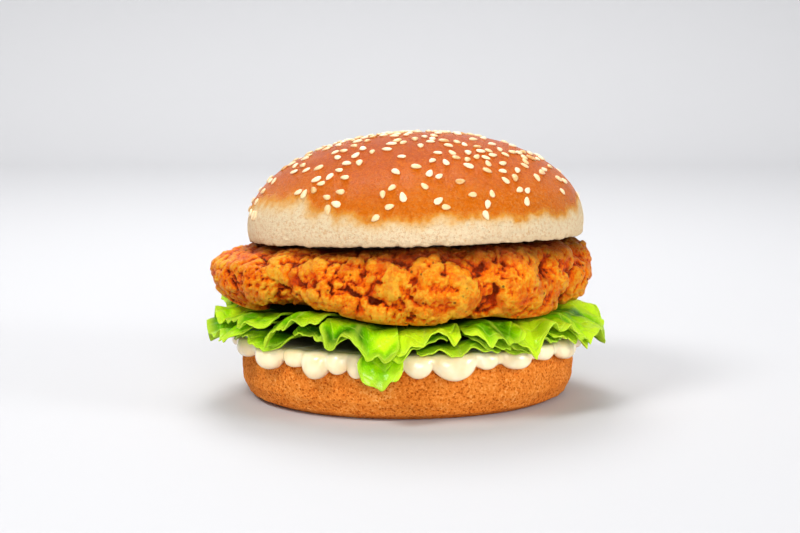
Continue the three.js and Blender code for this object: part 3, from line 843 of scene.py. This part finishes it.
def breadingFinish():
    # golden on the tops and deep orange in the gaps, partly the crust's tone and partly painted shade, with
    # patches, flakes, specks of pepper and painted shade under the crown
    finish = Finish("crispBreading")
    relief = finish.attribute("relief")
    patch = finish.noise(9, 4, 0.6)
    grain = finish.noise(0.7, 5, 0.8)
    flakes = finish.cells(1.2)
    shade = relief * 0.8 + (patch - 0.5) * 0.8 + (grain - 0.5) * 1.2 - flakes * 0.25 + 0.14
    # the crust's tone by the relief: painted shade darkens the gaps and lightens the tops
    colour = finish.ramp(shade, [
        (0.1, tint(110, 24, 0)), (0.26, tint(176, 50, 0)), (0.42, tint(226, 76, 0)),
        (0.58, tint(250, 104, 0)), (0.75, tint(255, 140, 4)), (0.95, tint(255, 186, 50)),
    ])
    red = finish.between(0.5, 0.66, finish.noise(6.5, 3))
    colour = finish.blend(red * 0.55, colour, tint(216, 56, 0))
    # painted shade: dark red-brown under the crown's edge
    colour = finish.blend(finish.attribute("recess") * 0.8, colour, tint(92, 20, 2))
    pepper = finish.between(0.2, 0.13, finish.cells(2.6))
    scarce = finish.between(0.48, 0.56, finish.noise(5, 2))
    colour = finish.blend(pepper * scarce * 0.8, colour, tint(70, 26, 10))
    crisp = finish.bump(grain * 1.2 + finish.noise(0.35, 3) * 0.4 - flakes * 0.5, 0.7, 0.9)
    return finish.surface(
        Base_Color=colour, Roughness=0.32, Normal=crisp, Specular_IOR_Level=0.42,
        Specular_Tint=(1, 0.7, 0.3, 1),
    )


# The crown: its pale band at the side, and where there is more of something by azimuth and half-width
paleBand = {
    "height": 6.4,
    "swells": [(207, 36, 4.8), (2, 22, 4.4), (259, 9, -1.0), (300, 9, 0.9), (314, 8, -0.8), (95, 40, 2.6)],
    "streaks": [(1.1, 5, 45), (1.2, 2.2, 46)],
    "streaky": (222, 26, 1.4),  # where the streaks are larger
    "ragged": [(0.9, 1.3, 47), (0.9, 3, 50)],
    "fade": 4.2,
    "softer": (212, 34, 3.5),  # where the fade is wider
}


def domePoint(angle, rise):
    # a superellipse turned round, a little uneven, its top set to one side
    up, out = np.sin(rise), np.cos(rise)
    scale = (out ** crown["roundness"] + up ** crown["roundness"]) ** (-1 / crown["roundness"])
    height = crown["rim"] + (crown["height"] - crown["rim"]) * up * scale
    at = polar(angle, crown["radius"] * uneven(angle, crown["waves"]) * out * scale, height)
    at[..., 0] += crown["topShift"] * (at[..., 2] / crown["height"]) ** 2
    return at


def makeCrown():
    # the cut face, a short torn edge and the dome
    angle = roundAbout(crown["columns"])
    widest = domePoint(angle, 0 * angle)
    face = widest * np.linspace(*crown["cutPath"])[:, None, None]
    face[..., 2] = 0
    # the edge turns from the cut face to the widest ring by a quarter ellipse
    turn = np.linspace(crown["edgeStart"], math.pi / 2, crown["edgeRows"])[:, None]
    share = 1 - crown["edgeInset"] * (1 - np.sin(turn))
    edge = widest * share[..., None]
    edge[..., 2] = crown["rim"] * (1 - np.cos(turn)) + 0 * angle
    rise = math.pi / 2 * np.linspace(0, crown["domeShare"], crown["domeRows"])[1:, None]
    rings = np.concatenate([face, edge, domePoint(angle, rise + 0 * angle)])
    facing = gridNormals(rings)
    z = rings[..., 2]
    out = np.hypot(rings[..., 0], rings[..., 1]) / crown["radius"]
    torn = (1 - smooth(*crown["tornFrom"], z)) * smooth(*crown["tornPast"], out)
    rough = layered(rings, crown["torn"])
    pits = np.maximum(0, clouds(rings, crown["pitSize"], 44) - 0.55)
    pits = pits * (1 - smooth(*crown["pitsBelow"], z)) * smooth(*crown["pitsAbove"], z)
    depth = crown["tornDepth"] * torn * rough + layered(rings, crown["skin"]) - crown["pitDepth"] * pits
    rings = rings + facing * depth[..., None]

    # how far it is baked: 0 in the pale band, about a half where it turns orange, 1 on top
    swells = sum(bell(angle, *swell) for swell in paleBand["swells"])
    streaky = 1 + bell(angle, *paleBand["streaky"])
    streaks = streaky * layered(polar(angle, 30, 0.12 * z), paleBand["streaks"])
    border = paleBand["height"] + swells + streaks + layered(rings, paleBand["ragged"])
    fade = paleBand["fade"] + bell(angle, *paleBand["softer"])
    browned = smooth(-0.5 * fade, fade, z - border)
    bake = 0.5 * browned + 0.5 * browned * smooth(8, 31, z + 2.4 * clouds(rings, 16, 48))
    crumb = smooth(1.8, 0.6, z + 0.5 * rough)
    return ringPiece("bunCrown", onBurger(rings), {"bake": bake, "crumb": crumb})


def crownFinish():
    # the pale floury band and the orange top by the baking, with mottle, grain and a glossy skin
    finish = Finish("eggWashedCrust")
    bake, crumb = finish.attribute("bake"), finish.attribute("crumb")
    mottle = finish.noise(7, 4)
    grain = finish.noise(1.3, 5, 0.8)
    shade = bake + (mottle - 0.5) * 0.7 * bake + (grain - 0.5) * 0.8 * (bake + 0.1)
    colour = finish.ramp(shade, [
        (0.0, tint(255, 232, 192)), (0.14, tint(252, 212, 152)), (0.3, tint(240, 160, 58)),
        (0.46, tint(230, 116, 10)), (0.62, tint(222, 106, 2)), (0.8, tint(216, 98, 0)),
        (1.0, tint(204, 86, 2)),
    ])
    skin = finish.noise(0.8, 5, 0.85)
    colour = finish.blend(finish.between(0.5, 0.6, skin) * bake * 0.6, colour, tint(178, 58, 0))
    colour = finish.blend(finish.between(0.46, 0.38, skin) * bake * 0.4, colour, tint(252, 150, 30))
    flour = finish.between(0.45, 0.65, finish.noise(1.0, 4, 0.8)) * (1 - bake)
    colour = finish.blend(flour * 0.6, colour, tint(230, 172, 100))
    colour = finish.blend(crumb * 0.7, colour, tint(250, 222, 176))
    glossy = finish.between(0.12, 0.5, bake)
    pores = finish.between(0.04, 0.28, finish.cells(1.1)) * (1 - glossy)
    normal = finish.bump(grain * 0.8 + skin * 0.8 + pores * 0.5, 1.0, 1)
    return finish.surface(
        Base_Color=colour, Roughness=0.85 - glossy * 0.6, Normal=normal, Specular_IOR_Level=0.16,
        Specular_Tint=(1, 0.5, 0.14, 1),
    )


# Sesame seeds
sesame = {
    "groups": 240,
    "most": 4,  # seeds in a group
    "spread": 4.6,
    "apart": 2.88,
    "thinning": 0.62,
    "reach": 0.96,
    "seed": 4711,
    "size": (3.2, 1.95, 1.05),  # length, width, thickness
    "pinch": 0.36,
    "poleTilt": 64,  # degrees
    "corners": 9,
    "rings": 6,
    "proud": 0.22,
    "rock": 0.16,
    "sizes": (0.88, 0.24),  # least, range of the draw
    "lookSeed": 97,
}


def seedPlaces():
    # groups of one to four, thrown on from above, thinner towards the side
    draw = drawsFrom(sesame["seed"])
    places = []
    spread = sesame["spread"] / crown["radius"]
    for _ in range(sesame["groups"]):
        angle = 2 * math.pi * next(draw)
        reach = sesame["reach"] * next(draw) ** sesame["thinning"]
        members = 1 + math.floor(sesame["most"] * next(draw) ** 1.3)
        for _ in range(members):
            x = reach * math.cos(angle) + spread * (2 * next(draw) - 1)
            y = reach * math.sin(angle) + spread * (2 * next(draw) - 1)
            turn = 2 * math.pi * next(draw)
            out = min(0.99, math.hypot(x, y))
            up = (1 - out ** crown["roundness"]) ** (1 / crown["roundness"])
            azimuth, rise = math.atan2(y, x), math.atan2(up, out)
            at = domePoint(azimuth, rise)
            nudge = 1e-3
            along = unit(domePoint(azimuth, rise + nudge) - at)
            facing = unit(np.cross(domePoint(azimuth + nudge, rise) - at, along))
            if all(np.linalg.norm(at - place[0]) >= sesame["apart"] for place in places):
                places.append((at, along, facing, turn))
    return places


def makeSeeds():
    # each seed is a drop: an ellipsoid pinched towards one end and flattened
    length, width, thickness = sesame["size"]
    turn = roundAbout(sesame["corners"])
    tilt = np.radians(np.linspace(-sesame["poleTilt"], sesame["poleTilt"], sesame["rings"]))[:, None]
    x = 0.5 * length * np.cos(turn) * np.cos(tilt)
    pinch = 1 - sesame["pinch"] * np.cos(turn) * np.cos(tilt)
    y = 0.5 * width * np.sin(turn) * np.cos(tilt) * pinch
    z = 0.5 * thickness * np.sin(tilt) * (0.9 + 0.1 * np.cos(turn))
    body = np.stack([x, y, z + 0 * x], axis=-1).reshape(-1, 3)
    body = np.concatenate([body, [[0, 0, -0.5 * thickness], [0, 0, 0.5 * thickness]]])
    quads, ends = ringFaces(sesame["rings"], sesame["corners"])

    places = seedPlaces()
    draw = drawsFrom(sesame["lookSeed"])
    leastSize, moreSize = sesame["sizes"]
    points, tones = [], []
    for at, along, facing, spin in places:
        across = np.cross(facing, along)
        basis = np.stack([along, across, facing])
        # spun about its own upright, rocked a little, grown or shrunk, then laid on the crust
        c, s = math.cos(spin), math.sin(spin)
        spun = body @ np.array([[c, s, 0], [-s, c, 0], [0, 0, 1]])
        rock = sesame["rock"] * (next(draw) - 0.5)
        spun = spun @ np.array([[1, 0, rock], [0, 1, 0], [-rock, 0, 1]])
        spun = spun * (leastSize + moreSize * next(draw))
        points.append(at + spun @ basis + facing * sesame["proud"])
        tones.append(np.full(len(body), next(draw)))
    steps = (np.arange(len(places)) * len(body))[:, None, None]
    allQuads = (quads[None] + steps).reshape(-1, 4)
    allEnds = (ends[None] + steps).reshape(-1, 3)
    print(len(places), "seeds")
    points = onBurger(np.concatenate(points))
    return pieceFrom("sesameSeeds", points, allQuads, allEnds, {"tone": np.concatenate(tones)})


def seedFinish():
    # cream, some seeds toasted darker by their own tone
    finish = Finish("toastedSesame")
    tone = finish.attribute("tone")
    colour = finish.ramp(tone * 0.8 + finish.noise(1.2, 2) * 0.3, [
        (0.14, tint(200, 140, 64)), (0.24, tint(226, 190, 134)),
        (0.5, tint(238, 208, 160)), (0.9, tint(246, 224, 184)),
    ])
    normal = finish.bump(finish.noise(0.5, 2), 0.15, 0.3)
    return finish.surface(
        Base_Color=colour, Roughness=0.42, Normal=normal, Subsurface_Weight=0.15, Subsurface_Scale=0.001,
    )


# Making everything
dress(makeHeel(), heelFinish(), "bun_crumb", "bun_heel")
print("heel made")

dress(makeMayonnaise(), mayonnaiseFinish(), "mayonnaise", "mayonnaise")
print("mayonnaise made")

green = leafFinish()
for number, leaf in enumerate(leaves):
    dress(makeLeaf(number, *leaf), green, "lettuce", f"lettuce_leaf_{number + 1}")
print(len(leaves), "leaves made")

dress(makeFillet(), breadingFinish(), "breading", "chicken_fillet")
print("fillet made")

dress(makeCrown(), crownFinish(), "bun_crust", "bun_crown")
dress(makeSeeds(), seedFinish(), "bun_crust")
print("crown made")


# Floor, wall, light and camera
studio = {
    "wall": 860,
    "cove": 140,
    "coveRows": 12,
    "width": 5000,
    "front": -6000,
    "height": 1600,
    "whiteness": (193, 193, 195),
}


def makeStage():
    # a floor that turns up into a wall by a quarter circle
    turn = np.linspace(0, math.pi / 2, studio["coveRows"])
    back = studio["wall"] - studio["cove"] * (1 - np.sin(turn))
    y = np.concatenate([[studio["front"]], back, [studio["wall"]]])
    z = np.concatenate([[0], studio["cove"] * (1 - np.cos(turn)), [studio["height"]]])
    x = 0.5 * studio["width"] * np.array([-1, 1])
    grid = np.stack(np.broadcast_arrays(x[None, :], y[:, None], z[:, None]), axis=-1)
    index = np.arange(grid.shape[0] * 2).reshape(-1, 2)
    quads = np.stack([index[:-1, 0], index[:-1, 1], index[1:, 1], index[1:, 0]], axis=-1)
    stage = pieceFrom("studioSweep", grid.reshape(-1, 3), quads, np.zeros((0, 3), int), {})
    finish = Finish("studioPaper")
    stage.data.materials.append(finish.surface(Base_Color=(*tint(*studio["whiteness"]), 1), Roughness=0.7))


middleOfBurger = (0, 0, 45)
# place, aim, width in millimetres, power in watts
lamps = {
    "keyLamp": ((-420, -380, 620), middleOfBurger, 260, 4.1),
    "frontLamp": ((120, -950, 330), middleOfBurger, 500, 4.7),
    "rightLamp": ((620, -300, 300), middleOfBurger, 260, 2.2),
    "backLamp": ((-60, 420, 560), middleOfBurger, 260, 1.8),
    "wallLamp": ((-60, 450, 950), (0, 860, 250), 900, 7.4),
}
sky = {"colour": (0.96, 0.98, 1, 1), "strength": 0.27}


def makeLamp(name, place, aim, width, power):
    # a round lamp that faces its aim
    data = bpy.data.lights.new(name, "AREA")
    data.shape, data.size, data.energy = "DISK", width * mm, power
    light = bpy.data.objects.new(name, data)
    light.location = Vector(place) * mm
    light.rotation_euler = (Vector(aim) - Vector(place)).to_track_quat("-Z", "Y").to_euler()
    bpy.context.scene.collection.objects.link(light)


def makeSky():
    # an even light from all round
    world = bpy.data.worlds.new("studioLight")
    world.use_nodes = True
    background = world.node_tree.nodes["Background"]
    background.inputs["Color"].default_value = sky["colour"]
    background.inputs["Strength"].default_value = sky["strength"]
    bpy.context.scene.world = world
    bpy.context.scene.view_settings.view_transform = "Standard"


shot = {
    "focal": 2400,  # in the picture's pixels
    "pictureWidth": 800,
    "sensor": 36,
    "distance": 760,
    "elevation": 8.1,
    "target": (-2.2, 0, 39.9),
}


def makeCamera():
    # it looks at its target from the front, from a distance and an elevation
    data = bpy.data.cameras.new("photoCamera")
    data.sensor_width = shot["sensor"]
    data.lens = shot["sensor"] * shot["focal"] / shot["pictureWidth"]
    data.clip_start, data.clip_end = 0.01, 20
    camera = bpy.data.objects.new("photoCamera", data)
    tilt = math.radians(shot["elevation"])
    back = Vector((0, -math.cos(tilt), math.sin(tilt)))
    camera.location = (Vector(shot["target"]) + back * shot["distance"]) * mm
    camera.rotation_euler = (-back).to_track_quat("-Z", "Y").to_euler()
    bpy.context.scene.collection.objects.link(camera)
    bpy.context.scene.camera = camera


makeStage()
for name, settings in lamps.items():
    makeLamp(name, *settings)
makeSky()
makeCamera()
print("stage, lamps and camera made")
